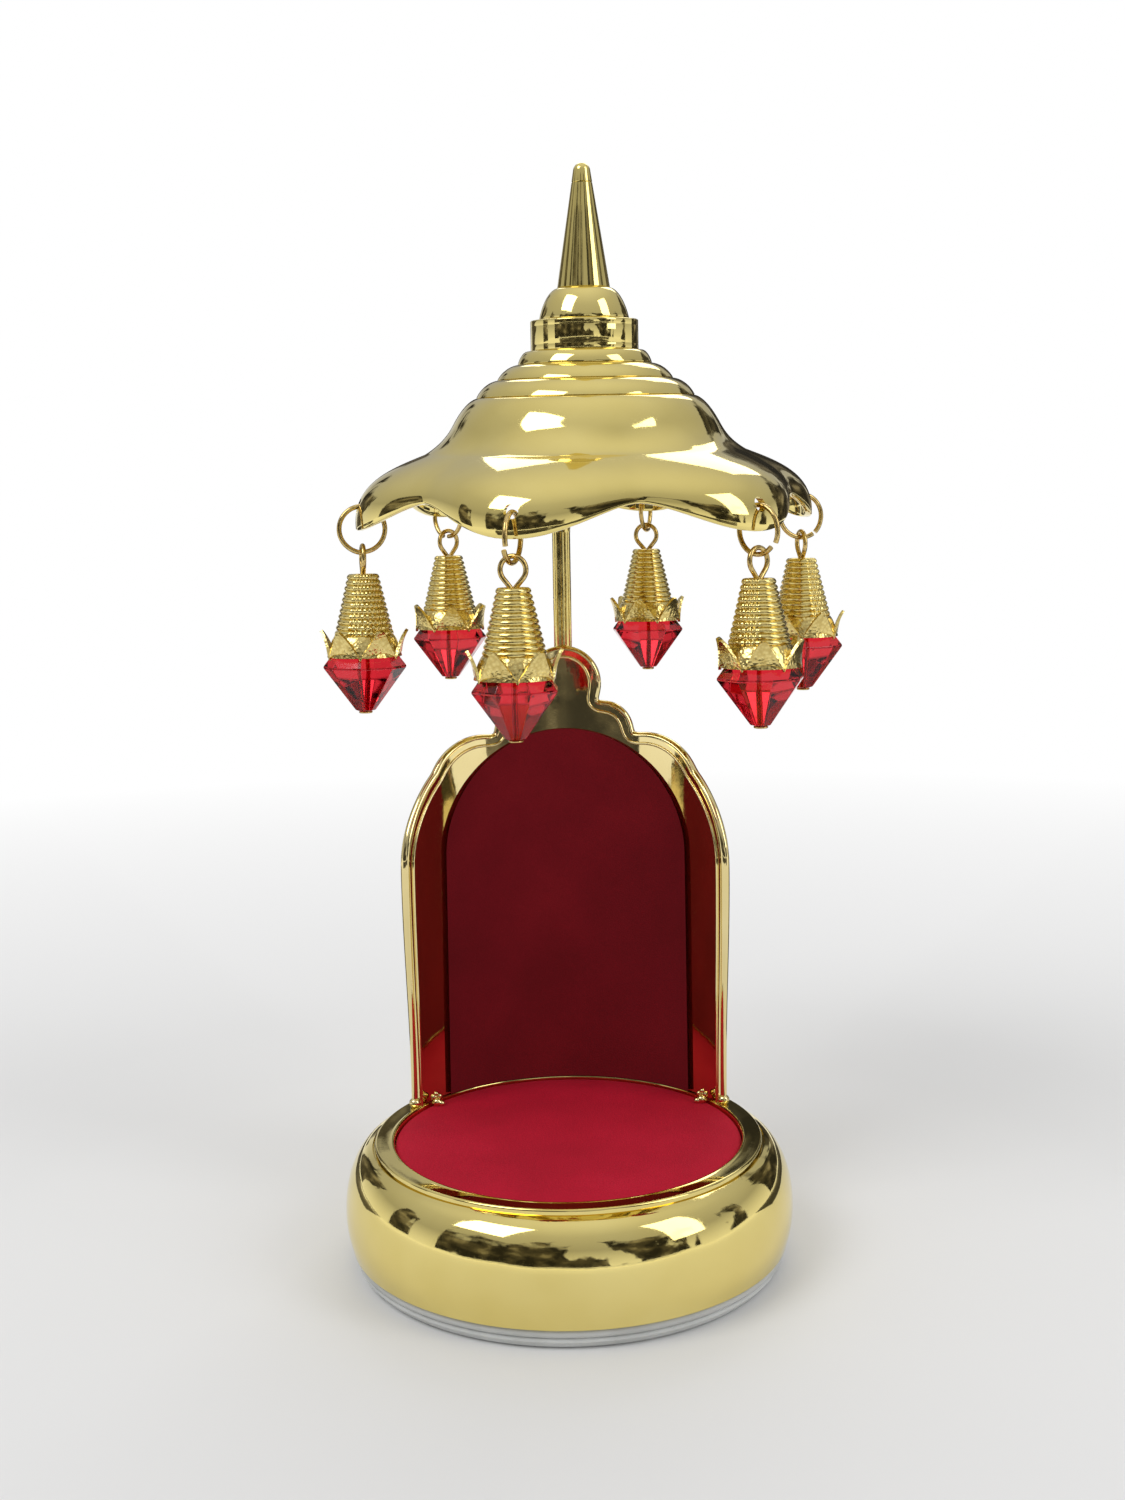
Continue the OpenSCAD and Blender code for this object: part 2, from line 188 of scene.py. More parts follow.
def makePlated(name, s):
    # cast or drawn metal with fine marks in its skin
    material, shader = newMaterial(name)
    links = material.node_tree.links
    shader.inputs["Metallic"].default_value = 1
    marks = patternNode(material, "noise", s["marks"], s["detail"])
    stops = list(zip(s["stops"], (s["darker"], s["colour"])))
    links.new(tones(material, marks, stops), shader.inputs["Base Color"])
    links.new(mapped(material, marks, *s["rough"], 0.3, 0.7), shader.inputs["Roughness"])
    bumped(material, shader, [(marks, s["bump"], s["depth"])])
    return material


def makeVelvet(name, s):
    # short pile whose tone drifts with the nap, with painted shade in the hollows of the pile, and
    # a few specks of lint on an open cloth
    material, shader = newMaterial(name)
    nodes, links = material.node_tree.nodes, material.node_tree.links
    nap = patternNode(material, "noise", 70, 5)
    pile = patternNode(material, "noise", 5200, 2)
    cloth = tones(material, nap, [(0.3, s["deep"]), (0.52, s["middle"]), (0.75, s["pale"])])
    # painted shade: the cloth is darker where the pile's bump is low, as if shade fell between the
    # tufts
    paintedPileShade = tones(material, pile, [(0.3, (0.62, 0.62, 0.62)), (0.7, (1, 1, 1))])
    shaded = nodes.new("ShaderNodeMix")
    shaded.data_type = "RGBA"
    shaded.blend_type = "MULTIPLY"
    shaded.inputs["Factor"].default_value = 0.55
    links.new(cloth, shaded.inputs["A"])
    links.new(paintedPileShade, shaded.inputs["B"])
    colour = shaded.outputs["Result"]
    if s["lint"]:
        specks = patternNode(material, "cells", 110)
        fluff = nodes.new("ShaderNodeMix")
        fluff.data_type = "RGBA"
        fluff.inputs["B"].default_value = (0.75, 0.55, 0.55, 1)
        links.new(mapped(material, specks, 0.8, 0.0, 0.012, 0.03), fluff.inputs["Factor"])
        links.new(colour, fluff.inputs["A"])
        colour = fluff.outputs["Result"]
    links.new(colour, shader.inputs["Base Color"])
    shader.inputs["Roughness"].default_value = 0.95
    shader.inputs["Specular IOR Level"].default_value = 0.15
    shader.inputs["Sheen Weight"].default_value = s["sheen"]
    shader.inputs["Sheen Roughness"].default_value = 0.45
    shader.inputs["Sheen Tint"].default_value = (*s["pale"], 1)
    bumped(material, shader, [(nap, 0.15, 0.3 * mm), (pile, 0.55, 0.08 * mm)])
    return material


def makeCrystal(name, colour):
    # clear moulded plastic, faintly marked
    material, shader = newMaterial(name)
    links = material.node_tree.links
    shader.inputs["Base Color"].default_value = (*colour, 1)
    shader.inputs["Transmission Weight"].default_value = 1
    shader.inputs["IOR"].default_value = 1.4
    marks = patternNode(material, "noise", 1200, 3)
    links.new(mapped(material, marks, 0.04, 0.14, 0.4, 0.8), shader.inputs["Roughness"])
    bumped(material, shader, [(marks, 0.04, 0.04 * mm)])
    return material


def makeGrey(name, s):
    # dull grey plastic or foam; its pores are grain per metre
    material, shader = newMaterial(name)
    links = material.node_tree.links
    pores = patternNode(material, "noise", s["grain"], 5)
    stain = patternNode(material, "noise", 120, 3)
    stops = [(0.35, s["darker"]), (0.65, s["colour"])]
    links.new(tones(material, stain, stops), shader.inputs["Base Color"])
    links.new(mapped(material, pores, *s["rough"], 0.3, 0.7), shader.inputs["Roughness"])
    bumped(material, shader, [(pores, 0.5, s["depth"])])
    return material


platedSetup = {
    "cone": {"colour": (0.88, 0.72, 0.28), "darker": (0.70, 0.54, 0.18), "stops": (0.3, 0.62),
             "marks": 3400, "detail": 4, "rough": (0.06, 0.24), "bump": 0.16, "depth": 0.05 * mm},
    "wire": {"colour": (0.80, 0.60, 0.24), "darker": (0.52, 0.36, 0.12), "stops": (0.35, 0.65),
             "marks": 1800, "detail": 3, "rough": (0.1, 0.26), "bump": 0.12, "depth": 0.04 * mm},
}
velvetSetup = {
    "seat": {"deep": (0.46, 0.005, 0.025), "middle": (0.53, 0.006, 0.030),
             "pale": (0.60, 0.009, 0.038), "sheen": 0.06, "lint": True},
    # the back is the same cloth as the seat, painted darker and given less sheen: painted shade on
    # the upright panel, which is lit less than the seat
    "back": {"deep": (0.13, 0.0025, 0.006), "middle": (0.158, 0.003, 0.008),
             "pale": (0.19, 0.0045, 0.010), "sheen": 0.02, "lint": False},
}
greySetup = {
    "plate": {"colour": (0.52, 0.53, 0.52), "darker": (0.44, 0.45, 0.44), "rough": (0.3, 0.45),
              "grain": 1500, "depth": 0.05 * mm},
    "foam": {"colour": (0.60, 0.61, 0.60), "darker": (0.50, 0.51, 0.50), "rough": (0.85, 1.0),
             "grain": 2200, "depth": 0.25 * mm},
}
# colour, its darker patches and, for the chromes, the least and the most roughness
chrome = makeChrome("goldChrome", (0.87, 0.725, 0.275), (0.81, 0.66, 0.225), (0.03, 0.10))
backChrome = makeChrome("backChrome", (0.87, 0.73, 0.37), (0.80, 0.66, 0.31), (0.03, 0.10))
poleGold = makeChrome("poleGold", (0.84, 0.69, 0.27), (0.76, 0.61, 0.21), (0.08, 0.2))
stampedGold = makeStampedGold("stampedGold", (0.90, 0.74, 0.30), (0.66, 0.50, 0.17))
coneGold = makePlated("ribbedGold", platedSetup["cone"])
brassWire = makePlated("brassWire", platedSetup["wire"])
seatCloth = makeVelvet("seatVelvet", velvetSetup["seat"])
# the back velvet is the seat's cloth with painted shade, darker than the seat
backClothPaintedShade = makeVelvet("backVelvetPaintedShade", velvetSetup["back"])
redCrystal = makeCrystal("redCrystal", (0.66, 0.022, 0.034))
greyPlate = makeGrey("greyPlate", greySetup["plate"])
foamGrey = makeGrey("foamGrey", greySetup["foam"])
print("materials made")


def mix(a, b, share):
    return a + (b - a) * share


def bezier(points, t):
    a, b, c, d = (Vector(p) for p in points)
    return (1 - t) ** 3 * a + 3 * (1 - t) ** 2 * t * b + 3 * (1 - t) * t * t * c + t ** 3 * d


def arc(mid, r, start, end, steps, tall=None):
    # points round a centre, angles in degrees; tall is the half height of an oval
    angles = [radians(mix(start, end, i / steps)) for i in range(steps + 1)]
    return [(mid[0] + r * cos(a), mid[1] + (tall or r) * sin(a)) for a in angles]


def spun(outline, steps=192, closed=False):
    # turns an outline of (radius, height) in mm about the Z axis
    bm = bmesh.new()
    verts = [bm.verts.new((r * mm, 0, z * mm)) for r, z in outline]
    edges = [bm.edges.new(pair) for pair in zip(verts, verts[1:])]
    if closed:
        edges.append(bm.edges.new((verts[-1], verts[0])))
    bmesh.ops.spin(bm, geom=verts + edges, cent=(0, 0, 0), axis=(0, 0, 1), angle=2 * pi,
                   steps=steps, use_merge=True)
    bmesh.ops.remove_doubles(bm, verts=bm.verts, dist=0.002 * mm)
    bmesh.ops.recalc_face_normals(bm, faces=bm.faces)
    return bm


def tubeMesh(line, radius, resolution, swell=None):
    # round wire along points in metres, with filled ends; swell scales the radius at each point
    data = bpy.data.curves.new("tube", "CURVE")
    data.dimensions = "3D"
    data.bevel_depth = radius
    data.bevel_resolution = resolution
    data.use_fill_caps = True
    spline = data.splines.new("POLY")
    spline.points.add(len(line) - 1)
    for i, (point, place) in enumerate(zip(spline.points, line)):
        point.co = (*place, 1)
        point.radius = swell[i] if swell else 1
    holder = bpy.data.objects.new("tube", data)
    bm = bmesh.new()
    bm.from_mesh(holder.to_mesh())
    holder.to_mesh_clear()
    bpy.data.objects.remove(holder)
    bmesh.ops.remove_doubles(bm, verts=bm.verts, dist=0.001 * mm)
    bmesh.ops.recalc_face_normals(bm, faces=bm.faces)
    return bm


def addBall(bm, place, r, stretch, segments):
    size = Matrix.Diagonal((*stretch, 1))
    bmesh.ops.create_uvsphere(bm, u_segments=segments, v_segments=segments // 2, radius=r,
                              matrix=Matrix.Translation(place) @ size)


def joined(parts):
    whole = bmesh.new()
    for part in parts:
        mesh = bpy.data.meshes.new("part")
        part.to_mesh(mesh)
        part.free()
        whole.from_mesh(mesh)
        bpy.data.meshes.remove(mesh)
    return whole


def bevelEdges(bm, width, segments, sharperThan):
    edges = [e for e in bm.edges if len(e.link_faces) == 2
             and e.calc_face_angle() > radians(sharperThan)]
    bmesh.ops.bevel(bm, geom=edges, offset=width, segments=segments, profile=0.5,
                    affect="EDGES", material=-1, clamp_overlap=True)


def turned(bm, angle):
    # turned about the Z axis, in degrees
    bmesh.ops.rotate(bm, cent=(0, 0, 0), matrix=Matrix.Rotation(radians(angle), 3, "Z"),
                     verts=bm.verts)
    return bm


def sliced(bm, places, normal):
    # cuts the mesh across at each of the places, so that it can bend there
    for place in places:
        bmesh.ops.bisect_plane(bm, geom=bm.verts[:] + bm.edges[:] + bm.faces[:],
                               plane_co=place, plane_no=normal)


def extruded(bm):
    # new copies of the faces' vertices, joined to the old ones by walls
    grown = bmesh.ops.extrude_face_region(bm, geom=bm.faces[:])["geom"]
    return [g for g in grown if isinstance(g, bmesh.types.BMVert)]


def finishPiece(name, bm, material, body, nodes, sharpAngle=32):
    # smooths all but the sharp edges, and puts the piece on its body in place of its CAD nodes
    for face in bm.faces:
        face.smooth = True
    for edge in bm.edges:
        edge.smooth = len(edge.link_faces) == 2 and edge.calc_face_angle() < radians(sharpAngle)
    mesh = bpy.data.meshes.new(name)
    bm.to_mesh(mesh)
    bm.free()
    mesh.materials.append(material)
    piece = bpy.data.objects.new(name, mesh)
    bpy.context.scene.collection.objects.link(piece)
    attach(piece, body)
    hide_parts(*nodes)
    return piece


def keepNode(node, material):
    # a CAD node whose shape is right as it is
    piece = frame["nodes"][node]
    piece.data.materials.clear()
    piece.data.materials.append(material)


baseSetup = {
    "r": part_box("base_shell")[1].x / mm,
    "top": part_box("base_shell")[1].z / mm,
    "foot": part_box("base_shell")[0].z / mm,
    "footIn": 0.8,             # the foot lies this far inside the widest line
    "shoulder": (4.0, 7.8),    # width and height of the rounded shoulder
    "rim": 0.7,                # height of the ring above the shoulder
    "band": 2.35,              # width of the flat band from the seat's recess outwards
    "wall": 2.0,
    "ringIn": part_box("seat_velvet")[1].x / mm + 0.05,
    "seatFloor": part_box("seat_velvet")[0].z / mm,
    "lip": 0.32,               # radius of the thin bright lip round the seat
    "step": 0.62,              # drop of the fine step outside the flat band
    "groove": 0.3,             # depth of the groove at its foot
    "cloth": 0.9,              # the seat's cloth and the card that it is glued to
}


def makeBase(s):
    r, top, foot = s["r"], s["top"], s["foot"]
    shoulderW, shoulderH = s["shoulder"]
    bandOut = s["ringIn"] + s["band"]
    widest = top - s["rim"] - shoulderH
    low = [(r - s["footIn"] - s["wall"], foot), (r - 1.0, foot)]
    roll = arc((r - 1.02, foot + 0.28), 0.28, -90, 0, 5)
    bulge = [tuple(bezier([(r - 0.74, foot + 0.3), (r - 0.4, foot + 1.5), (r, widest - 2.2),
                           (r, widest)], i / 14)) for i in range(15)]
    shoulder = arc((r - shoulderW, widest), shoulderW, 0, 78, 24, shoulderH)[1:]
    ledge = top - s["step"]
    step = [(bandOut + 0.62, ledge - 0.06), (bandOut + 0.5, ledge - s["groove"]),
            (bandOut + 0.36, ledge - s["groove"]), (bandOut + 0.3, ledge + 0.02)]
    step += arc((bandOut - 0.02, top - 0.3), 0.3, 0, 90, 5)
    band = [(s["ringIn"] + 2 * s["lip"] + 0.12, top - 0.14)]
    lip = arc((s["ringIn"] + s["lip"], top - s["lip"]), s["lip"], 70, 180, 8)
    inside = [(s["ringIn"], s["seatFloor"]), (0, s["seatFloor"])]
    under = [(0, s["seatFloor"] - s["wall"]), (s["ringIn"], s["seatFloor"] - s["wall"]),
             (r - s["wall"] - 0.6, widest + 0.6), (r - s["wall"], widest)]
    outline = low + roll + bulge[1:] + shoulder + step + band + lip + inside + under
    shell = spun(outline, 224, closed=True)
    finishPiece("baseShell", shell, chrome, "temple", ["base_shell"])

    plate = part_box("base_plate")
    plateR, plateLow, plateTop = plate[1].x / mm, plate[0].z / mm, plate[1].z / mm
    inner = r - s["footIn"] - s["wall"] - 0.1
    lipTop = foot - 0.02
    half = (lipTop - plateLow) / 2
    edge = [(0, plateLow), (plateR - half, plateLow)]
    edge += arc((plateR - half, plateLow + half), half, -75, 75, 9)
    outline = edge + [(plateR - half, lipTop), (inner, lipTop), (inner, plateTop), (0, plateTop)]
    finishPiece("basePlate", spun(outline), greyPlate, "temple", ["base_plate"])

    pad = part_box("base_pad")
    padR, padTop = pad[1].x / mm, pad[1].z / mm
    outline = [(0, 0)] + arc((padR - 1.5, 1.2), 1.2, -90, -25, 8)
    outline += arc((padR - 0.45, padTop - 0.45), 0.42, -15, 90, 5) + [(0, padTop)]
    foam = finishPiece("basePad", spun(outline), foamGrey, "temple", ["base_pad"])


def makeSeat(s):
    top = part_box("seat_velvet")[1].z / mm
    low = top - s["cloth"]
    edgeR = s["ringIn"] - 0.08
    outline = [(0, low), (edgeR - 0.1, low), (edgeR, low + 0.12)]
    outline += arc((edgeR - 0.55, top - 0.6), 0.55, 0, 85, 6)
    outline += [(edgeR * 0.8, top + 0.02), (edgeR * 0.4, top), (0, top)]
    seat = spun(outline, 160)
    piece = finishPiece("seatVelvet", seat, seatCloth, "temple", ["seat_velvet"], 60)


makeBase(baseSetup)
makeSeat(baseSetup)
print("base made")


backSetup = {
    "wallIn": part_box("backrest_velvet")[1].y / mm + 0.05,
    "wall": 1.5,
    "backWall": 1.3,            # the sheet behind the rolled edge is a little thinner
    "apex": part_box("backrest")[1].z / mm,
    "halfWidth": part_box("backrest")[1].x / mm,
    "foot": baseSetup["top"],
    # each pair is a value at the foot and one from the shoulders up
    "roll": (0.42, 0.66),       # radius of the rolled edge
    "inset": (1.25, 0.68),      # its middle lies this far inside the outline
    "ridge": 0.22,              # radius of the fine ridge inside it
    "ridgeStep": (0.55, 0.92),
    "spacing": 0.32,            # between the points of the edge and of the ridge
    "shoulderDrop": 29.8,       # the curve of the shoulders starts this far under the apex
    "notchUp": 11.6,            # and ends this far above its start, at the first lobe
    "bendX": 2.1,               # half the way between the middles of the two shoulder curves
    "velvet": 0.45,             # thickness of the cloth
    # distance aside, depth under the apex and radius of the lobes
    "lobes": [(12.3, 20, 7.3), (6, 12.6, 4.4), (0, 5.7, 5.7)],
}


def circlesMeet(a, b):
    # upper outer crossing of two circles (x, z, r)
    gap = hypot(b[0] - a[0], b[1] - a[1])
    along = (gap ** 2 + a[2] ** 2 - b[2] ** 2) / (2 * gap)
    aside = sqrt(max(a[2] ** 2 - along ** 2, 0))
    ux, uz = (b[0] - a[0]) / gap, (b[1] - a[1]) / gap
    ends = [(a[0] + along * ux + side * aside * uz, a[1] + along * uz - side * aside * ux)
            for side in (-1, 1)]
    return max(ends, key=lambda p: p[0] + p[1])


def backEdge(s):
    # right half of the outline seen from the front, from the foot up to the apex
    shoulderZ = s["apex"] - s["shoulderDrop"]
    bend = s["halfWidth"] - s["bendX"]
    circles = [(x, s["apex"] - down, r) for x, down, r in s["lobes"]]
    notchZ = shoulderZ + s["notchUp"]
    notchX = circles[0][0] + sqrt(circles[0][2] ** 2 - (notchZ - circles[0][1]) ** 2)
    corners = [(notchX, notchZ)] + [circlesMeet(a, b) for a, b in zip(circles, circles[1:])]
    corners.append((0, s["apex"]))
    straight = [(s["halfWidth"], mix(s["foot"], shoulderZ, i / 24)) for i in range(25)]
    top = degrees(acos((notchX - s["bendX"]) / bend))
    lines = [straight + arc((s["bendX"], shoulderZ), bend, 0, top, 24)[1:]]
    for (x, z, r), start, end in zip(circles, corners, corners[1:]):
        angles = [degrees(atan2(p[1] - z, p[0] - x)) for p in (start, end)]
        lines.append(arc((x, z), r, angles[0], angles[1], 16))
    return lines


def upTheSide(s, pair, z):
    # eases from the value at the foot to the one at the shoulders
    share = min(max((z - s["foot"]) / (s["apex"] - s["shoulderDrop"] - s["foot"]), 0), 1)
    return mix(pair[0], pair[1], share * share * (3 - 2 * share))


def drawnIn(s, lines):
    # the same edge moved inwards, turning round the notches between the lobes
    turnStep = 0.22        # radians
    points = []
    last = None
    for line in lines:
        for i, (x, z) in enumerate(line):
            before, after = line[max(i - 1, 0)], line[min(i + 1, len(line) - 1)]
            inward = atan2(after[0] - before[0], before[1] - after[1])
            inset = upTheSide(s, s["inset"], z)
            if last is not None and i == 0:
                turn = (inward - last + pi) % (2 * pi) - pi
                steps = max(int(abs(turn) / turnStep), 1)
                for k in range(1, steps):
                    a = last + turn * k / steps
                    points.append((x + inset * cos(a), z + inset * sin(a)))
            points.append((x + inset * cos(inward), z + inset * sin(inward)))
            last = inward
    return points


def evened(points, step, passes):
    # even steps along a line, with its sharp turns eased
    spaced, carry = [Vector(points[0])], 0.0
    for a, b in zip(points, points[1:]):
        a, b = Vector(a), Vector(b)
        run = (b - a).length
        while run > 0 and carry + step <= run:
            carry += step
            spaced.append(a + (b - a) * carry / run)
        carry -= run
    spaced.append(Vector(points[-1]))
    for _ in range(passes):
        inner = [(p + 2 * q + r) / 4 for p, q, r in zip(spaced, spaced[1:], spaced[2:])]
        spaced = [spaced[0]] + inner + [spaced[-1]]
    return spaced


def onWall(x, z, r):
    # point of the front view carried back to the round wall
    return Vector((x, sqrt(max(r * r - x * x, 0)), z)) * mm


def wholeEdge(half):
    # the right half and its mirror image, as one line
    return [(x, z) for x, z in half] + [(-x, z) for x, z in half[-2::-1]]


def makeBackrest(s):
    mid = s["wallIn"] + s["wall"] / 2
    rollLine = evened(wholeEdge(drawnIn(s, backEdge(s))), s["spacing"], 10)
    rollLine = [(x, max(z, s["foot"])) for x, z in rollLine]
    swell = [upTheSide(s, s["roll"], z) for x, z in rollLine]
    roll = tubeMesh([onWall(x, z, mid) for x, z in rollLine], mm, 7, swell)

    # the ridge is drawn beside the edge on the unrolled wall
    flat = [Vector((mid * asin(x / mid), z)) for x, z in rollLine]
    ridge = []
    for before, here, after in zip(flat[:1] + flat, flat, flat[1:] + flat[-1:]):
        along = (after - before).normalized()
        ridge.append(here + Vector((-along.y, along.x)) * upTheSide(s, s["ridgeStep"], here.y))
    ridge = evened(ridge, s["spacing"], 6)
    front = s["wallIn"] - 0.02
    ridgeLine = [(front * sin(u / mid) * mm, front * cos(u / mid) * mm, max(z, s["foot"]) * mm)
                 for u, z in ridge]
    fine = tubeMesh(ridgeLine, s["ridge"] * mm, 4)

    wall = bmesh.new()
    wall.faces.new([wall.verts.new((x * mm, 0, z * mm)) for x, z in rollLine])
    half = int(s["halfWidth"])
    sliced(wall, [(i * 0.5 * mm, 0, 0) for i in range(-half * 2, half * 2 + 1)], (1, 0, 0))
    for vert in wall.verts:
        place = onWall(vert.co.x / mm, vert.co.z / mm, mid)
        vert.co = (place.x * s["wallIn"] / mid, place.y * s["wallIn"] / mid, place.z)
    scale = (s["wallIn"] + s["backWall"]) / s["wallIn"]
    bmesh.ops.scale(wall, vec=(scale, scale, 1), verts=extruded(wall))
    bmesh.ops.recalc_face_normals(wall, faces=wall.faces)

    feet = bmesh.new()
    for side in (-1, 1):
        x = side * (s["halfWidth"] - s["inset"][0])
        addBall(feet, onWall(x, s["foot"] + 0.45, mid), 0.85 * mm, (1, 1, 0.85), 24)
    whole = joined([roll, fine, wall, feet])
    finishPiece("backrestShell", whole, backChrome, "temple", ["backrest"])


def makeLugs():
    # two small clusters of blobs where the shell is staked to the base
    bm = bmesh.new()
    lo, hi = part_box("backrest_lugs")
    # aside, back, up and radius of each blob
    blobs = [(0, 0, 0.42, 0.7), (-0.62, -0.12, 0.3, 0.5), (0.46, 0.25, 1.1, 0.52),
             (-0.3, 0.2, 1.25, 0.42), (0.1, -0.25, 1.75, 0.34)]
    for side in (-1, 1):
        mid = Vector((side * (hi.x - 0.9 * mm), (lo.y + hi.y) / 2, 0))
        for dx, dy, dz, r in blobs:
            place = mid + Vector((side * dx * mm, dy * mm, lo.z + dz * mm))
            addBall(bm, place, r * mm, (1, 0.85, 0.9), 16)
    finishPiece("backrestLugs", bm, backChrome, "temple", ["backrest_lugs"], 60)


def makeBackVelvet(s):
    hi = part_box("backrest_velvet")[1]
    gap = 0.05
    half, top, outer = hi.x / mm - gap, hi.z / mm - gap, hi.y / mm - gap
    archZ = top - half
    foot = s["foot"] + gap
    outline = [(half, foot)] + arc((0, archZ), half, 0, 180, 64) + [(-half, foot)]
    panel = bmesh.new()
    panel.faces.new([panel.verts.new((x * mm, 0, z * mm)) for x, z in outline])
    stripe, rows = 0.6, 24
    count = int(half / stripe)
    sliced(panel, [(i * stripe * mm, 0, 0) for i in range(-count, count + 1)], (1, 0, 0))
    sliced(panel, [(0, 0, mix(foot, top, i / rows) * mm) for i in range(1, rows)], (0, 0, 1))
    frontVerts = set(extruded(panel))
    for vert in panel.verts:
        r = (outer - s["velvet"] if vert in frontVerts else outer) * mm
        vert.co.y = sqrt(r * r - vert.co.x ** 2)
    bmesh.ops.recalc_face_normals(panel, faces=panel.faces)
    bevelEdges(panel, 0.16 * mm, 2, 60)
    # area of the unrolled panel: its arch in thin strips, and the straight part under it
    flatHalf = outer * asin(half / outer)
    strips = 200
    heights = [half * (i + 0.5) / strips for i in range(strips)]
    area = sum(2 * outer * asin(sqrt(half ** 2 - z ** 2) / outer) * half / strips for z in heights)
    area += 2 * flatHalf * (archZ - foot)
    piece = finishPiece("backVelvetPaintedShade", panel, backClothPaintedShade, "temple",
                        ["backrest_velvet"], 50)


makeBackrest(backSetup)
makeLugs()
makeBackVelvet(backSetup)
keepNode("pole", poleGold)
keepNode("pole_sleeve", poleGold)
print("backrest made")


canopySetup = {
    "lobeR": 33.7,
    "fluteIn": 3.7,        # how far the rim draws in and rises between two lobes
    "fluteUp": 4.2,
    "waist": (3.5, 3.8),   # out from the lowest tier and under its foot
    "flare": (3.2, 4.2, 4.1),    # out from the waist between lobes and on one, and under it
    "wall": 1.0,
    "firstLobe": -17,      # degrees from the front
    "lobes": 6,
    "crownZ": 18.4,
    "steps": [(15.8, 2.5), (12.7, 2.2), (9.7, 1.9)],   # radius and height of the round tiers
    "collar": (7.8, 4.4),  # radius and height
    "dome": (6.5, 4.5),
    "spireFoot": 3.8,
    "spireTip": 1.25,
    "spireTop": 51.8,
    "hole": 2.0,           # diameter of the hole for a pendant
    "holeShare": 2.8,      # where it lies down the skirt, as in skirtPoint
}
lobeTurn = 360 / canopySetup["lobes"]


def lobeShare(s, angle):
    # 1 in the middle of a lobe and 0 between two
    return (0.5 + 0.5 * cos(s["lobes"] * (angle - radians(s["firstLobe"])))) ** 0.8


def skirtPoint(s, w, t):
    # radius and height outside the skirt; w is the lobe's share, and t is 0 to 1 down to the
    # waist, to 2 down to the flare and to 3 down to the rim
    crownR, crownZ = s["steps"][0][0], s["crownZ"]
    waistR, waistZ = crownR + s["waist"][0], crownZ - s["waist"][1]
    flareR, flareZ = waistR + mix(*s["flare"][:2], w), waistZ - s["flare"][2]
    valleyR = s["lobeR"] - s["fluteIn"]
    if t <= 1:
        return bezier([(crownR, crownZ), (crownR + 1.3, crownZ - 0.3), (waistR - 0.9, crownZ - 2.1),
                       (waistR, waistZ)], t)
    if t <= 2:
        return bezier([(waistR, waistZ), (waistR + 0.7, waistZ - 1.3),
                       (flareR - 2.2, flareZ + 1.3), (flareR, flareZ)], t - 1)
    return bezier([(flareR, flareZ), (mix(valleyR - 4, s["lobeR"] - 5.2, w), mix(8.9, 8.6, w)),
                   (mix(valleyR - 0.2, s["lobeR"] + 0.6, w), mix(7.2, 6.6, w)),
                   (mix(valleyR, s["lobeR"], w), mix(s["fluteUp"], 0, w))], t - 2)


swings = [Vector(j["pos_m"]) for j in frame["joints"] if j["name"].startswith("ring_swing")]
canopyUp = (swings[1] - swings[4]).cross(swings[0] - swings[3]).normalized()
canopyUp *= 1 if canopyUp.z > 0 else -1
hookPlane = skirtPoint(canopySetup, 1, canopySetup["holeShare"])[1] * mm
canopyMid = sum(swings, Vector()) / len(swings) - canopyUp * hookPlane
canopyPlace = Matrix.Translation(canopyMid) @ Matrix.Rotation(-asin(canopyUp.y), 4, "X")


def onCanopy(bm):
    bmesh.ops.transform(bm, matrix=canopyPlace, verts=bm.verts)
    return bm


def canopyPiece(name, bm, node):
    return finishPiece(name, bm, chrome, "temple", [node], 40)


def makeSkirt(s):
    # spun as a plain cylinder whose height stands for t, then each point goes to its place
    bm = bmesh.new()
    shares = [i / 14 for i in range(14)] + [1 + i / 14 for i in range(14)]
    shares += [2 + i / 22 for i in range(23)]
    verts = [bm.verts.new((1, 0, t)) for t in [-0.2] + shares]
    edges = [bm.edges.new(pair) for pair in zip(verts, verts[1:])]
    bmesh.ops.spin(bm, geom=verts + edges, cent=(0, 0, 0), axis=(0, 0, 1), angle=2 * pi,
                   steps=240, use_merge=True)
    for vert in bm.verts:
        angle, t = atan2(vert.co.x, -vert.co.y), vert.co.z
        r, z = skirtPoint(s, lobeShare(s, angle), max(t, 0))
        if t < 0:
            r -= 4         # the first ring reaches in under the crown
        vert.co = (r * mm * sin(angle), -r * mm * cos(angle), z * mm)
    bmesh.ops.recalc_face_normals(bm, faces=bm.faces)
    if sum(f.normal.z for f in bm.faces) < 0:
        bmesh.ops.reverse_faces(bm, faces=bm.faces)
    bmesh.ops.solidify(bm, geom=bm.faces[:], thickness=s["wall"] * mm)
    bmesh.ops.recalc_face_normals(bm, faces=bm.faces)
    bevelEdges(bm, 0.22 * mm, 2, 55)
    onCanopy(bm)

    cutter = bmesh.new()
    holeR, holeZ = skirtPoint(s, 1, s["holeShare"])
    for n in range(s["lobes"]):
        turn = Matrix.Rotation(radians(s["firstLobe"] + n * lobeTurn), 4, "Z")
        place = Matrix.Translation((0, -(holeR - s["wall"] / 2) * mm, (holeZ + 0.1) * mm))
        lay = Matrix.Rotation(pi / 2, 4, "X")
        bmesh.ops.create_cone(cutter, cap_ends=True, segments=32, radius1=s["hole"] / 2 * mm,
                              radius2=s["hole"] / 2 * mm, depth=6 * mm, matrix=turn @ place @ lay)
    onCanopy(cutter)
    piece = canopyPiece("canopySkirt", bm, "canopy")
    cutHoles(piece, cutter)


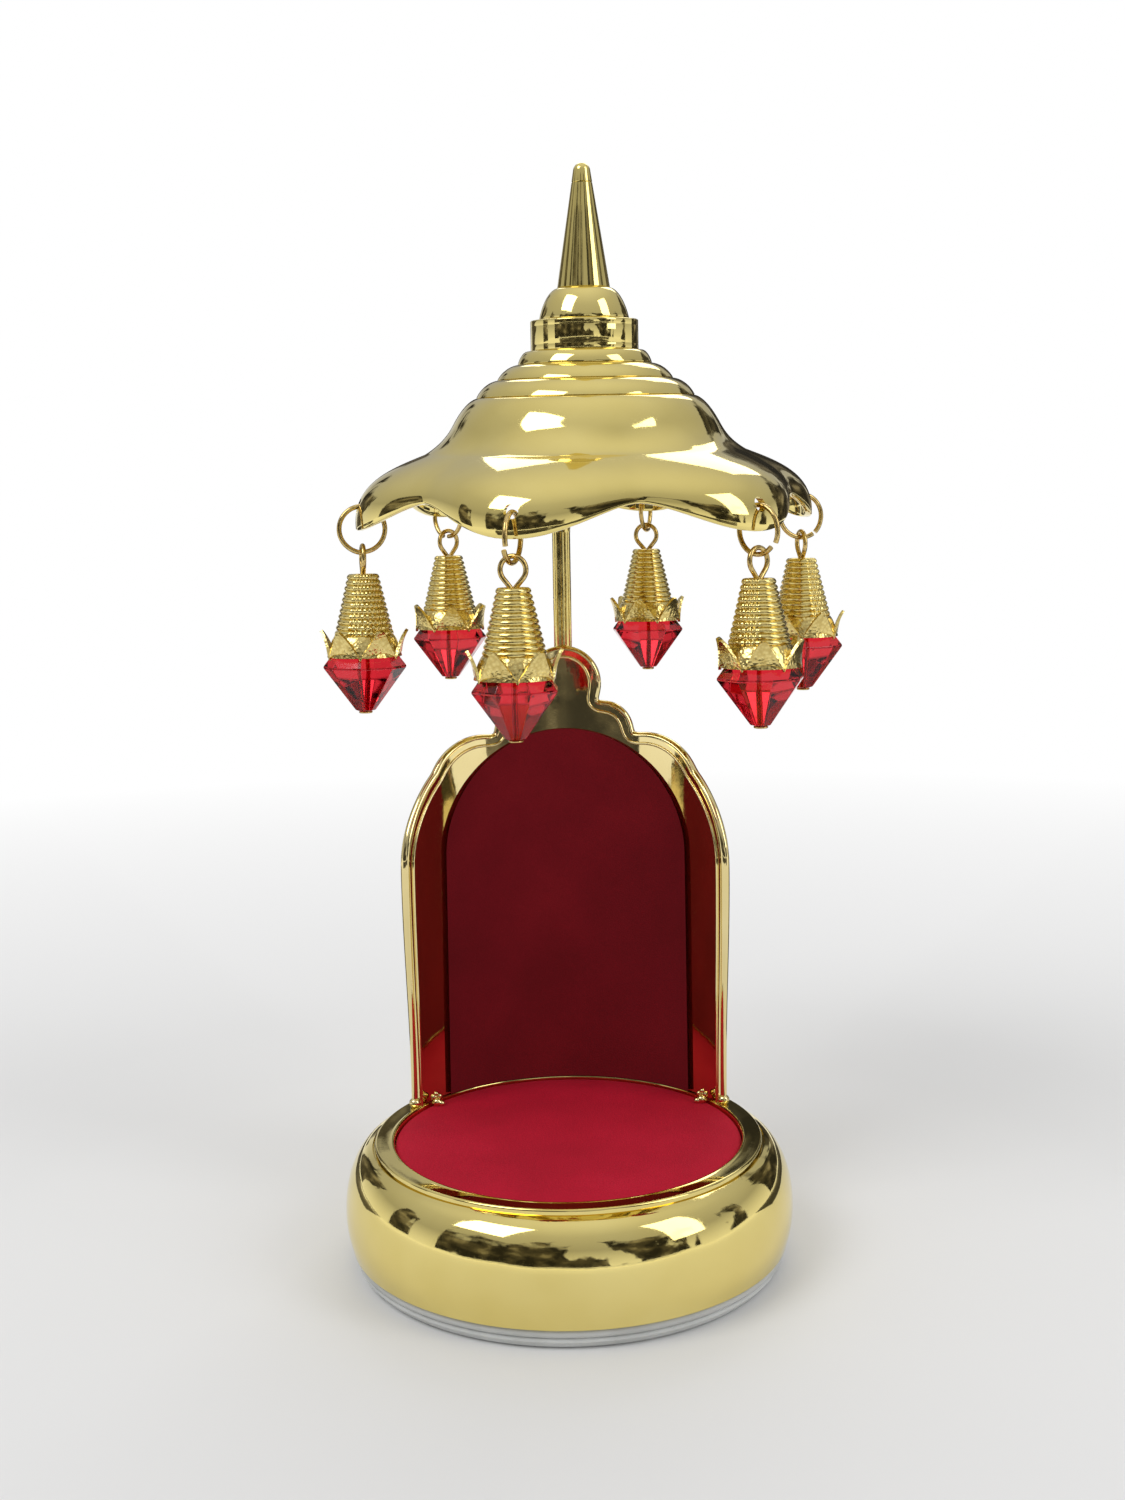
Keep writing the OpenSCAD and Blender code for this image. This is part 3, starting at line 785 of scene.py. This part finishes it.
def cutHoles(piece, cutter):
    mesh = bpy.data.meshes.new("cutter")
    cutter.to_mesh(mesh)
    cutter.free()
    tool = bpy.data.objects.new("cutter", mesh)
    bpy.context.scene.collection.objects.link(tool)
    cut = piece.modifiers.new("holes", "BOOLEAN")
    cut.object = tool
    cut.operation = "DIFFERENCE"
    cut.solver = "EXACT"
    bpy.context.view_layer.update()
    graph = bpy.context.evaluated_depsgraph_get()
    done = bpy.data.meshes.new_from_object(piece.evaluated_get(graph))
    piece.modifiers.remove(cut)
    piece.data = done
    bpy.data.objects.remove(tool)


def tier(r, topR, z, h, edge=0.12):
    # slanted band that swells out between its foot and its top, with a tight crease under it
    side = [(r - edge, z)] + arc((r - edge, z + edge), edge, -90, 0, 3)[1:]
    run = r - topR
    curve = [(r, z + edge), (r - 0.22 * run, z + 0.62 * h), (topR + 0.34 * run, z + 0.98 * h),
             (topR, z + h)]
    return side + [tuple(bezier(curve, i / 18)) for i in range(1, 19)]


def makeCrown(s):
    z = s["crownZ"]
    radii = [r for r, h in s["steps"]] + [s["steps"][-1][0] - 1.3]
    outline = [(0, z)]
    for (r, h), topR in zip(s["steps"], radii[1:]):
        outline += tier(r, topR, z, h)
        z += h
    outline.append((0, z))
    canopyPiece("canopyCrown", onCanopy(spun(outline, 224)), "canopy_crown")
    return z               # height of its top


def makeFinial(s, z):
    glue = 0.05            # line of glue under the dome and under the spire
    r, h = s["collar"]
    lines = []
    for share in (0.2, 0.8):     # faint turned lines round the collar
        lines += [(r, z + h * share - 0.09), (r - 0.022, z + h * share), (r, z + h * share + 0.09)]
    outline = [(0, z), (r - 0.18, z)] + arc((r - 0.18, z + 0.18), 0.18, -80, 0, 4) + lines
    outline += arc((r - 0.22, z + h - 0.22), 0.22, 0, 90, 5) + [(0, z + h)]
    canopyPiece("canopyCollar", onCanopy(spun(outline)), "canopy_collar")
    z += h + glue
    r, h = s["dome"]
    outline = [(0, z)] + tier(r, s["spireFoot"] + 0.1, z, h, 0.2) + [(0, z + h)]
    canopyPiece("canopyDome", onCanopy(spun(outline)), "canopy_dome")
    z += h + glue
    tip, top = s["spireTip"], s["spireTop"]
    neck = top - 2.9
    rNeck = mix(s["spireFoot"], tip, (neck - z) / (top - tip - z))
    outline = [(0, z), (s["spireFoot"] - 0.12, z), (s["spireFoot"], z + 0.12), (rNeck, neck),
               (rNeck - 0.1, neck + 0.08), (rNeck - 0.02, neck + 0.2)]
    outline += arc((0, top - tip), tip, 12, 90, 12)
    canopyPiece("canopySpire", onCanopy(spun(outline, 96)), "canopy_spire")


makeSkirt(canopySetup)
makeFinial(canopySetup, makeCrown(canopySetup))
keepNode("canopy_hub", poleGold)
print("canopy made")


# the pendants are drawn hanging under the middle of the wire in the lobe's hole
pendantSetup = {
    "wire": 0.35,
    "ringR": 3.25,
    "loopR": 1.75,
    "loopZ": -7.35,
    "coneTop": -9.6,
    "coneH": 8.7,
    "coneTopR": 2.2,
    "coneR": 4.25,
    "ribs": 11,
    "beads": (40, 130),        # degrees round the cone, from and to
    "petalLow": -3.4,          # foot and tip of a petal from the foot of the cone
    "petalHigh": 0.62,
    "petalTipR": 6.55,
    "petalWall": 0.42,
    "girdleDown": 4.5,         # under the foot of the cone
    "girdleR": 5.9,
    "crystalH": 6.2,           # from the girdle to the tip
    "tipR": 1.4,
    "crystalTopDown": 1.4,     # the crystal's top, inside the cap
    "bore": 0.45,
}


def ringShape(s, n):
    # each ring is open somewhere else, and its ends stand a little apart
    gap = 9 + 3 * (n % 3)         # degrees
    start = 190 + 14 * n
    line = []
    for i in range(73):
        share = i / 72
        angle = radians(start + gap / 2 + share * (360 - gap))
        skew = (share - 0.5) * (0.25 + 0.1 * (n % 2))
        r = s["ringR"] + max(share - 0.9, 0)       # one end stands out a little
        line.append((skew * mm, r * cos(angle) * mm, (r * sin(angle) - s["ringR"]) * mm))
    return tubeMesh(line, s["wire"] * mm, 5)


def eyeShape(s):
    crystalTip = s["coneTop"] - s["coneH"] - s["girdleDown"] - s["crystalH"]
    loop = arc((0, s["loopZ"]), s["loopR"], -42, 222, 34)
    low = s["loopZ"] - s["loopR"] * 1.42
    line = [(0, crystalTip), (0, mix(crystalTip, low, 0.5)), (0, low - 0.5), (0.06, low - 0.15),
            (0.3, low + 0.18)] + loop + [(-0.42, low + 0.25), (-0.36, low - 0.1)]
    wire = tubeMesh([(x * mm, 0, z * mm) for x, z in line], s["wire"] * mm, 5)
    head = spun([(0, crystalTip - 0.42)] + arc((0.82, crystalTip - 0.26), 0.16, -90, 90, 6)
                + [(0, crystalTip - 0.08)], 32)
    return joined([wire, head])


def coneShape(s):
    top, height, foot = s["coneTop"], s["coneH"], s["coneTop"] - s["coneH"]
    bore = s["bore"]
    outline = [(bore, foot), (s["coneR"] - 0.1, foot)]
    step = height / s["ribs"]
    for i in range(s["ribs"]):
        for k in range(9):
            share = (i + k / 9) / s["ribs"]
            swell = 0.26 * (sin(pi * k / 9) ** 0.7 - 1)
            outline.append((mix(s["coneR"], s["coneTopR"], share) + swell, foot + share * height))
    outline += [(s["coneTopR"] - 0.24, top - 0.02)]
    outline += arc((s["coneTopR"] - 0.42, top - 0.14), 0.14, 60, 150, 4)
    outline += [(bore + 0.5, top - 0.35), (bore, top - 0.9)]
    cone = spun(outline, 144, closed=True)
    beadFrom, beadTo = s["beads"]
    for vert in cone.verts:
        # beaded stretch on one side, where the ribs were cut across in the mould
        angle = degrees(atan2(vert.co.y, vert.co.x)) % 360
        r = hypot(vert.co.x, vert.co.y)
        if r > 1.6 * mm and beadFrom < angle < beadTo:
            fade = min(angle - beadFrom, beadTo - angle, 8) / 8
            row = int((vert.co.z / mm - foot) / step)
            change = 1 - 0.085 * mm / r * fade * (1 + cos(radians(angle * 30 + row * 180)))
            vert.co.x *= change
            vert.co.y *= change
    return cone


def capShape(s):
    # a spun cup with six petals, each bent from a flat grid
    foot = s["coneTop"] - s["coneH"]
    low, high = s["petalLow"], s["petalHigh"]
    lean = [(5.42, low), (5.5, -2.2), (5.6, -0.9), (s["petalTipR"], high)]
    skirtLine = [(s["coneR"] - 1.2, foot + 0.05), (s["coneR"] - 0.15, foot + 0.02)]
    skirtLine += [tuple(bezier([(s["coneR"] - 0.1, foot), (s["coneR"] + 0.25, foot - 0.3),
                                (s["coneR"] + 0.75, foot - 1.6), (5.3, foot - 3.0)], i / 8))
                  for i in range(9)]
    skirtLine += [(5.1, foot - 3.05), (5.02, foot - 2.95), (4.15, foot - 1.3), (0.5, foot - 1.3),
                  (0.5, foot - 0.1)]
    parts = [spun(skirtLine, 96, closed=True)]
    for k in range(6):
        petal = bmesh.new()
        bmesh.ops.create_grid(petal, x_segments=24, y_segments=14, size=1)
        for vert in petal.verts:
            u, v = vert.co.x, (vert.co.y + 1) / 2      # across and up the petal
            bottom = low + 1.05 * sqrt(1 - min(abs(u), 0.999) ** 2)
            peak = min(high, 1.05 - 4.1 * abs(u))
            z = mix(bottom, max(peak, bottom + 0.12), v)
            out = bezier(lean, min(max((z - low) / (high - low), 0), 1))[0]
            flat = cos(radians(30)) / cos(radians(30 * u))
            r = out * mix(1, flat * 1.07, 0.5) - 0.12 * u * u
            angle = radians(30 * u * 0.985 + 60 * k + 30)
            vert.co = (r * sin(angle) * mm, -r * cos(angle) * mm, (foot + z) * mm)
        bmesh.ops.recalc_face_normals(petal, faces=petal.faces)
        mid = Vector((sin(radians(60 * k + 30)), -cos(radians(60 * k + 30)), 0))
        if sum(f.normal.dot(mid) for f in petal.faces) < 0:
            bmesh.ops.reverse_faces(petal, faces=petal.faces)
        bmesh.ops.solidify(petal, geom=petal.faces[:], thickness=s["petalWall"] * mm)
        bmesh.ops.recalc_face_normals(petal, faces=petal.faces)
        parts.append(petal)
    return joined(parts)


def crystalShape(s, n):
    # eight-sided gem with a small flat tip, bored for the eye pin
    girdle = s["coneTop"] - s["coneH"] - s["girdleDown"]
    top = s["coneTop"] - s["coneH"] - s["crystalTopDown"]
    slope = (s["girdleR"] - s["tipR"]) / s["crystalH"]
    topR = s["girdleR"] - (top - girdle) * slope
    outline = [(s["bore"], top), (topR, top), (s["girdleR"], girdle + 0.12),
               (s["girdleR"], girdle - 0.12), (s["tipR"], girdle - s["crystalH"]),
               (s["bore"], girdle - s["crystalH"])]
    gem = spun(outline, 8, closed=True)
    bmesh.ops.dissolve_limit(gem, angle_limit=radians(1), verts=gem.verts, edges=gem.edges)
    bevelEdges(gem, 0.07 * mm, 1, 12)
    return turned(gem, 22.5 + 17 * n)


def hungAt(bm, n):
    # carried to the lobe's hole, with its loops square to the rim
    turn = Matrix.Rotation(radians(canopySetup["firstLobe"] + (n - 1) * lobeTurn), 4, "Z")
    bmesh.ops.transform(bm, matrix=Matrix.Translation(swings[n - 1]) @ turn, verts=bm.verts)
    return bm


def makePendant(s, n):
    ring, pin, cone, cap, crystal = (
        hungAt(bm, n) for bm in (ringShape(s, n), eyeShape(s), turned(coneShape(s), 47 * n),
                                 turned(capShape(s), 23 * n), crystalShape(s, n)))
    drop = f"drop_{n}"
    finishPiece(f"jumpRing_{n}", ring, brassWire, f"ring_{n}", [f"jump_ring_{n}"], 60)
    finishPiece(f"eyePin_{n}", pin, brassWire, drop, [f"eye_pin_{n}"], 60)
    finishPiece(f"ribbedCone_{n}", cone, coneGold, drop, [f"ribbed_cone_{n}"], 60)
    finishPiece(f"petalCap_{n}", cap, stampedGold, drop, [f"petal_cap_{n}"], 45)
    finishPiece(f"redCrystal_{n}", crystal, redCrystal, drop, [f"crystal_{n}"], 3)


for number in range(1, canopySetup["lobes"] + 1):
    makePendant(pendantSetup, number)
print("pendants made")


def stageObject(name, bm, material):
    mesh = bpy.data.meshes.new(name)
    bm.to_mesh(mesh)
    bm.free()
    mesh.materials.append(material)
    thing = bpy.data.objects.new(name, mesh)
    bpy.context.scene.collection.objects.link(thing)
    return thing


def hideFromLight(thing):
    # seen in mirrors and through glass, but not by the camera or the lamps
    thing.visible_camera = False
    thing.visible_diffuse = False
    thing.visible_shadow = False


def flatColour(name, colour):
    material, shader = newMaterial(name)
    shader.inputs["Base Color"].default_value = (*colour, 1)
    shader.inputs["Roughness"].default_value = 0.9
    return material, shader


floorSetup = {"r": 4, "colour": (0.78, 0.78, 0.78), "fade": (0.12, 0.45)}


def makeFloor(s):
    # paper that fades into plain white between two distances from the middle
    bm = bmesh.new()
    bmesh.ops.create_circle(bm, cap_ends=True, segments=96, radius=s["r"])
    material, shader = flatColour("floorPaper", s["colour"])
    nodes, links = material.node_tree.nodes, material.node_tree.links
    place = nodes.new("ShaderNodeTexCoord")
    length = nodes.new("ShaderNodeVectorMath")
    length.operation = "LENGTH"
    links.new(place.outputs["Object"], length.inputs[0])
    far = mapped(material, length.outputs["Value"], 0, 1, *s["fade"])
    glow = nodes.new("ShaderNodeEmission")
    glow.inputs["Strength"].default_value = 1
    fade = nodes.new("ShaderNodeMixShader")
    links.new(far, fade.inputs["Fac"])
    links.new(shader.outputs["BSDF"], fade.inputs[1])
    links.new(glow.outputs["Emission"], fade.inputs[2])
    surfaceFrom(material, fade.outputs["Shader"])
    stageObject("floor", bm, material)


scrimSetup = {"r": 2.2, "greys": [(0.0, 0.9), (0.35, 0.42), (0.7, 0.55), (1.0, 0.8)]}


def makeScrim(s):
    # grey cloth tent over the set, seen only in mirrors and glass
    bm = bmesh.new()
    bmesh.ops.create_uvsphere(bm, u_segments=64, v_segments=32, radius=s["r"])
    bmesh.ops.bisect_plane(bm, geom=bm.verts[:] + bm.edges[:] + bm.faces[:], plane_co=(0, 0, 0.01),
                           plane_no=(0, 0, 1), clear_inner=True)
    material, shader = newMaterial("scrimGrey")
    nodes, links = material.node_tree.nodes, material.node_tree.links
    glow = nodes.new("ShaderNodeEmission")
    # grey level at shares of the height
    greys = [(share, (grey, grey, grey)) for share, grey in s["greys"]]
    share = mapped(material, objectHeight(material), 0, 1, 0, s["r"])
    links.new(tones(material, share, greys), glow.inputs["Color"])
    surfaceFrom(material, glow.outputs["Emission"])
    nodes.remove(shader)
    hideFromLight(stageObject("scrim", bm, material))


cardSetup = {
    # swept lines of (distance, height) in metres
    "upright": [(1.15, 0.03), (1.15, 1.0)],
    "flat": [(0.24, 0.012), (1.14, 0.012)],
    "near": [(0.085, 0.004), (1.14, 0.004)],
    # the line of each card, and the angles round the set from and to which it runs, 0 in front
    "cards": {
        "cardFront": ("upright", -66, 66),
        "cardBack": ("upright", 122, 238),
        "cardEast": ("upright", 84, 98),
        "cardWest": ("upright", 262, 276),
        "apronFront": ("flat", -55, 55),
        "apronEast": ("near", 104, 152),
        "apronWest": ("near", 208, 256),
    },
}


def makeCards(s):
    # mottled dark cards with ragged tops and a few gaps, seen only in mirrors
    material, shader = flatColour("cardDark", (0.02, 0.017, 0.012))
    nodes, links = material.node_tree.nodes, material.node_tree.links
    patches = patternNode(material, "noise", 4.5, 4)
    links.new(tones(material, patches, [(0.42, (0.012, 0.010, 0.007)), (0.56, (0.07, 0.06, 0.045)),
                                        (0.7, (0.30, 0.27, 0.22))]), shader.inputs["Base Color"])
    ragged = patternNode(material, "noise", 3.2, 5)
    total = nodes.new("ShaderNodeMath")
    links.new(mapped(material, objectHeight(material), 0, 0.62, 0.2, 1.0), total.inputs[0])
    links.new(ragged, total.inputs[1])
    gaps = patternNode(material, "noise", 2.6, 3, (1, 1, 0.55))
    through = nodes.new("ShaderNodeMath")
    through.operation = "MAXIMUM"
    links.new(mapped(material, total.outputs["Value"], 0, 1, 0.74, 0.84), through.inputs[0])
    links.new(mapped(material, gaps, 0, 1, 0.585, 0.615), through.inputs[1])
    clear = nodes.new("ShaderNodeBsdfTransparent")
    cut = nodes.new("ShaderNodeMixShader")
    links.new(through.outputs["Value"], cut.inputs["Fac"])
    links.new(shader.outputs["BSDF"], cut.inputs[1])
    links.new(clear.outputs["BSDF"], cut.inputs[2])
    surfaceFrom(material, cut.outputs["Shader"])
    for name, (line, start, end) in s["cards"].items():
        bm = bmesh.new()
        a = radians(start)
        verts = [bm.verts.new((r * sin(a), -r * cos(a), z)) for r, z in s[line]]
        edges = [bm.edges.new(pair) for pair in zip(verts, verts[1:])]
        bmesh.ops.spin(bm, geom=verts + edges, cent=(0, 0, 0), axis=(0, 0, 1),
                       angle=radians(end - start), steps=32)
        card = stageObject(name, bm, material)
        hideFromLight(card)
        card.visible_transmission = False


lampSetup = {
    # place, size in metres and power in watts
    "keyBox": ((-0.55, -0.45, 0.85), (0.5, 0.5), 3.2),
    "fillBox": ((0.65, -0.35, 0.5), (0.3, 0.6), 1.4),
    "backBox": ((0.1, 0.75, 0.75), (0.7, 0.35), 1.8),
}


def makeLamp(name, place, size, power, aim):
    data = bpy.data.lights.new(name, "AREA")
    data.shape = "RECTANGLE"
    data.size, data.size_y = size
    data.energy = power
    lamp = bpy.data.objects.new(name, data)
    look = (Vector(aim) - Vector(place)).to_track_quat("-Z", "Y")
    lamp.matrix_world = Matrix.Translation(place) @ look.to_matrix().to_4x4()
    bpy.context.scene.collection.objects.link(lamp)
    lamp.visible_camera = False


def makeWorld(skyLight):
    # plain white to the camera and in mirrors and glass, and dimmer as light on the set
    world = bpy.data.worlds.new("studio")
    bpy.context.scene.world = world
    world.use_nodes = True
    nodes, links = world.node_tree.nodes, world.node_tree.links
    nodes.clear()
    out = nodes.new("ShaderNodeOutputWorld")
    path = nodes.new("ShaderNodeLightPath")
    seen = nodes.new("ShaderNodeMath")
    seen.operation = "MAXIMUM"
    both = nodes.new("ShaderNodeMath")
    both.operation = "MAXIMUM"
    links.new(path.outputs["Is Camera Ray"], seen.inputs[0])
    links.new(path.outputs["Is Glossy Ray"], seen.inputs[1])
    links.new(seen.outputs["Value"], both.inputs[0])
    links.new(path.outputs["Is Transmission Ray"], both.inputs[1])
    white = nodes.new("ShaderNodeBackground")
    white.inputs["Strength"].default_value = 1
    soft = nodes.new("ShaderNodeBackground")
    soft.inputs["Strength"].default_value = skyLight
    for node in (white, soft):
        node.inputs["Color"].default_value = (1, 1, 1, 1)
    blend = nodes.new("ShaderNodeMixShader")
    links.new(both.outputs["Value"], blend.inputs["Fac"])
    links.new(soft.outputs["Background"], blend.inputs[1])
    links.new(white.outputs["Background"], blend.inputs[2])
    links.new(blend.outputs["Shader"], out.inputs["Surface"])


makeFloor(floorSetup)
makeScrim(scrimSetup)
makeCards(cardSetup)
makeWorld(skyLight=0.62)
for lampName, (lampPlace, lampSize, lampPower) in lampSetup.items():
    makeLamp(lampName, lampPlace, lampSize, lampPower, aim=(0, 0, 0.07))
bpy.context.scene.view_settings.view_transform = "Standard"
print("light made")
